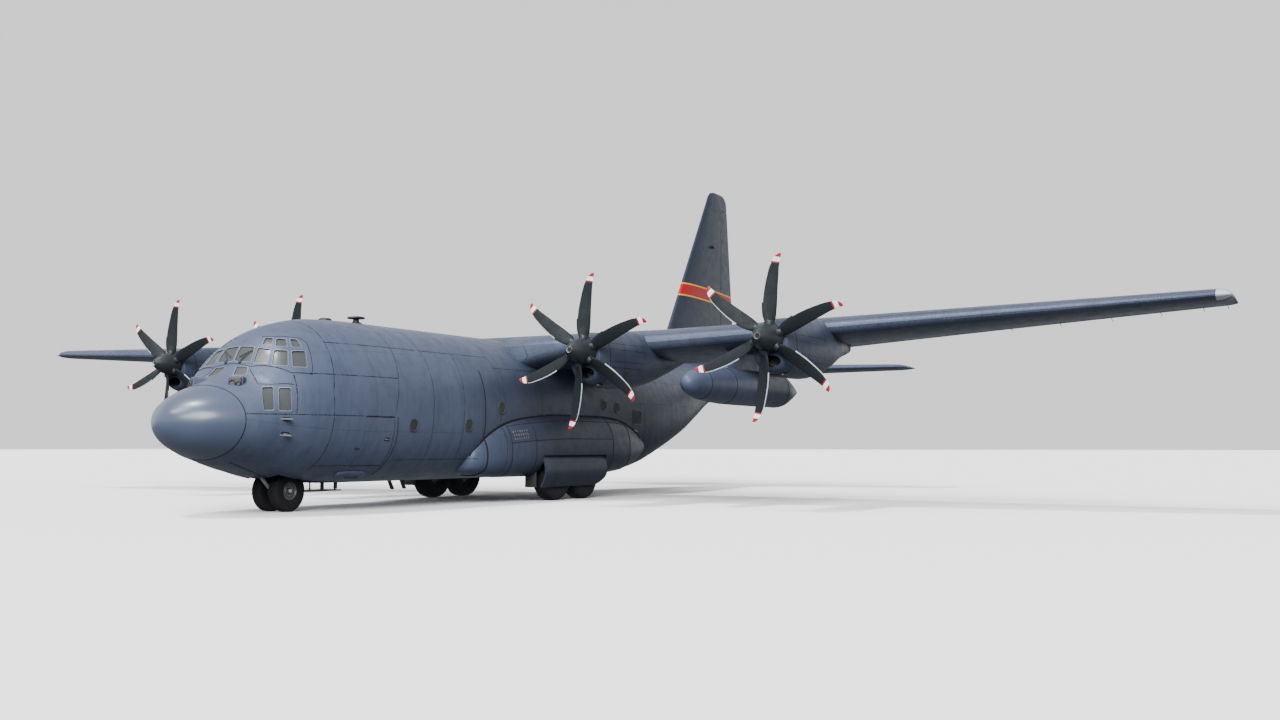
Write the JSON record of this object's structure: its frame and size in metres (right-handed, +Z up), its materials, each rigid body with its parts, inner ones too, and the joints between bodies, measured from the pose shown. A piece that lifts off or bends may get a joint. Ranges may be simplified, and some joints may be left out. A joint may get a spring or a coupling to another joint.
{
  "type": "1:2 scale model of a military transport plane",
  "caption": "High-wing transport plane with turning propellers, steerable nose gear, moving flaps and control surfaces, crew door and rear ramp.",
  "frame": {"origin": "on the floor under the middle of the plane's bounding box", "axes": "+X to the port wing tip, -Y to the nose, +Z up"},
  "size_m": [20.205, 14.895, 5.92],
  "materials": {
    "hull_paint": "semi-gloss blue-grey paint on aluminium",
    "radome_grey": "semi-gloss blue-grey composite",
    "blade_composite": "dark composite with red and white tips",
    "tyre_black": "black rubber on grey wheels",
    "gear_steel": "grey finish on steel",
    "engine_metal": "plain dark metal",
    "window_glass": "grey, nearly opaque panes",
    "deck_grey": "matt grey paint"
  },
  "bodies": {
    "airframe": {"aft_fuselage": "hull_paint", "cargo_floor": "deck_grey", "centre_fuselage": "hull_paint", "cockpit_glazing": "window_glass", "cockpit_section": "hull_paint", "drop_tank_left": "hull_paint", "drop_tank_right": "hull_paint", "engine_inner_left": "engine_metal", "engine_inner_right": "engine_metal", "engine_outer_left": "engine_metal", "engine_outer_right": "engine_metal", "fin": "hull_paint", "flight_deck": "deck_grey", "main_gear_door_left": "hull_paint", "main_gear_door_right": "hull_paint", "main_gear_legs_left": "gear_steel", "main_gear_legs_right": "gear_steel", "nacelle_inner_left": "hull_paint", "nacelle_inner_right": "hull_paint", "nacelle_outer_left": "hull_paint", "nacelle_outer_right": "hull_paint", "nose_gear_bay": "hull_paint", "nose_gear_door": "hull_paint", "nose_gear_strut": "gear_steel", "paratroop_door_left": "hull_paint", "paratroop_door_right": "hull_paint", "radome": "radome_grey", "sponson_left": "hull_paint", "sponson_right": "hull_paint", "tail_cone": "hull_paint", "tailplane": "hull_paint", "wing_centre": "hull_paint", "wing_left": "hull_paint", "wing_right": "hull_paint"},
    "propeller_1": {"propeller_1": "blade_composite"},
    "propeller_2": {"propeller_2": "blade_composite"},
    "propeller_3": {"propeller_3": "blade_composite"},
    "propeller_4": {"propeller_4": "blade_composite"},
    "nose_gear_leg": {"nose_gear_leg": "gear_steel"},
    "nose_wheels": {"nose_wheels": "tyre_black"},
    "crew_door": {"crew_door": "hull_paint"},
    "ramp": {"ramp": "hull_paint"},
    "cargo_door": {"cargo_door": "hull_paint"},
    "rudder": {"rudder": "hull_paint"},
    "elevators": {"elevator_left": "hull_paint", "elevator_right": "hull_paint"},
    "aileron_left": {"aileron_left": "hull_paint"},
    "aileron_right": {"aileron_right": "hull_paint"},
    "main_wheel_front_left": {"main_wheel_front_left": "tyre_black"},
    "main_wheel_rear_left": {"main_wheel_rear_left": "tyre_black"},
    "flap_inner_left": {"flap_inner_left": "hull_paint"},
    "flap_outer_left": {"flap_outer_left": "hull_paint"},
    "main_wheel_front_right": {"main_wheel_front_right": "tyre_black"},
    "main_wheel_rear_right": {"main_wheel_rear_right": "tyre_black"},
    "flap_inner_right": {"flap_inner_right": "hull_paint"},
    "flap_outer_right": {"flap_outer_right": "hull_paint"}
  },
  "joints": [
    {"name": "propeller_1_spin", "type": "hinge", "parent": "airframe", "child": "propeller_1", "pos_m": [5.14, -2.9375, 2.08], "axis": [0, 1, 0], "continuous": true},
    {"name": "propeller_2_spin", "type": "hinge", "parent": "airframe", "child": "propeller_2", "pos_m": [2.525, -2.9375, 2.01], "axis": [0, 1, 0], "continuous": true},
    {"name": "propeller_3_spin", "type": "hinge", "parent": "airframe", "child": "propeller_3", "pos_m": [-2.525, -2.9375, 2.01], "axis": [0, 1, 0], "continuous": true},
    {"name": "propeller_4_spin", "type": "hinge", "parent": "airframe", "child": "propeller_4", "pos_m": [-5.14, -2.9375, 2.08], "axis": [0, 1, 0], "continuous": true},
    {"name": "nose_steering", "type": "hinge", "parent": "airframe", "child": "nose_gear_leg", "pos_m": [0, -5.7225, 0.2475], "axis": [0, 0, 1], "range_deg": [-60, 60]},
    {"name": "nose_wheel_spin", "type": "hinge", "parent": "nose_gear_leg", "child": "nose_wheels", "pos_m": [0, -5.7225, 0.2475], "axis": [1, 0, 0], "continuous": true},
    {"name": "main_wheel_front_left_spin", "type": "hinge", "parent": "airframe", "child": "main_wheel_front_left", "pos_m": [1.0875, -1.4075, 0.355], "axis": [1, 0, 0], "continuous": true},
    {"name": "main_wheel_rear_left_spin", "type": "hinge", "parent": "airframe", "child": "main_wheel_rear_left", "pos_m": [1.0875, -0.6475, 0.355], "axis": [1, 0, 0], "continuous": true},
    {"name": "main_wheel_front_right_spin", "type": "hinge", "parent": "airframe", "child": "main_wheel_front_right", "pos_m": [-1.0875, -1.4075, 0.355], "axis": [1, 0, 0], "continuous": true},
    {"name": "main_wheel_rear_right_spin", "type": "hinge", "parent": "airframe", "child": "main_wheel_rear_right", "pos_m": [-1.0875, -0.6475, 0.355], "axis": [1, 0, 0], "continuous": true},
    {"name": "crew_door_hinge", "type": "hinge", "parent": "airframe", "child": "crew_door", "pos_m": [0.841, -5.1425, 0.54], "axis": [0, 1, 0], "range_deg": [0, 110]},
    {"name": "ramp_hinge", "type": "hinge", "parent": "airframe", "child": "ramp", "pos_m": [0, 1.6525, 0.3925], "axis": [-1, 0, 0], "range_deg": [0, 29]},
    {"name": "cargo_door_hinge", "type": "hinge", "parent": "airframe", "child": "cargo_door", "pos_m": [0, 5.0025, 1.56], "axis": [-1, 0, 0], "range_deg": [0, 28]},
    {"name": "rudder_hinge", "type": "hinge", "parent": "airframe", "child": "rudder", "pos_m": [0, 6.3825, 2.6], "axis": [0, 0.0599, 0.9982], "range_deg": [-35, 35]},
    {"name": "elevator_hinge", "type": "hinge", "parent": "airframe", "child": "elevators", "pos_m": [0, 6.6025, 2.25], "axis": [1, 0, 0], "range_deg": [-15, 40]},
    {"name": "aileron_left_hinge", "type": "hinge", "parent": "airframe", "child": "aileron_left", "pos_m": [6.6, -0.08944, 2.34377], "axis": [0.9956, -0.0798, 0.0482], "range_deg": [-15, 25]},
    {"name": "aileron_right_hinge", "type": "hinge", "parent": "airframe", "child": "aileron_right", "pos_m": [-6.6, -0.08944, 2.34377], "axis": [0.9956, 0.0798, -0.0482], "range_deg": [-15, 25]},
    {"name": "flap_inner_left_hinge", "type": "hinge", "parent": "airframe", "child": "flap_inner_left", "pos_m": [1.955, 0.26309, 1.85732], "axis": [-1, 0, 0], "range_deg": [0, 36]},
    {"name": "flap_inner_right_hinge", "type": "hinge", "parent": "airframe", "child": "flap_inner_right", "pos_m": [-1.955, 0.26309, 1.85732], "axis": [-1, 0, 0], "range_deg": [0, 36]},
    {"name": "flap_outer_left_hinge", "type": "hinge", "parent": "airframe", "child": "flap_outer_left", "pos_m": [4.6925, 0.10586, 1.96334], "axis": [-1, 0, 0], "range_deg": [0, 36]},
    {"name": "flap_outer_right_hinge", "type": "hinge", "parent": "airframe", "child": "flap_outer_right", "pos_m": [-4.6925, 0.10586, 1.96334], "axis": [-1, 0, 0], "range_deg": [0, 36]}
  ],
  "couplings": [
    {"joint": "flap_inner_right_hinge", "follows": "flap_inner_left_hinge", "ratio": 1},
    {"joint": "flap_outer_left_hinge", "follows": "flap_inner_left_hinge", "ratio": 1},
    {"joint": "flap_outer_right_hinge", "follows": "flap_inner_left_hinge", "ratio": 1}
  ]
}
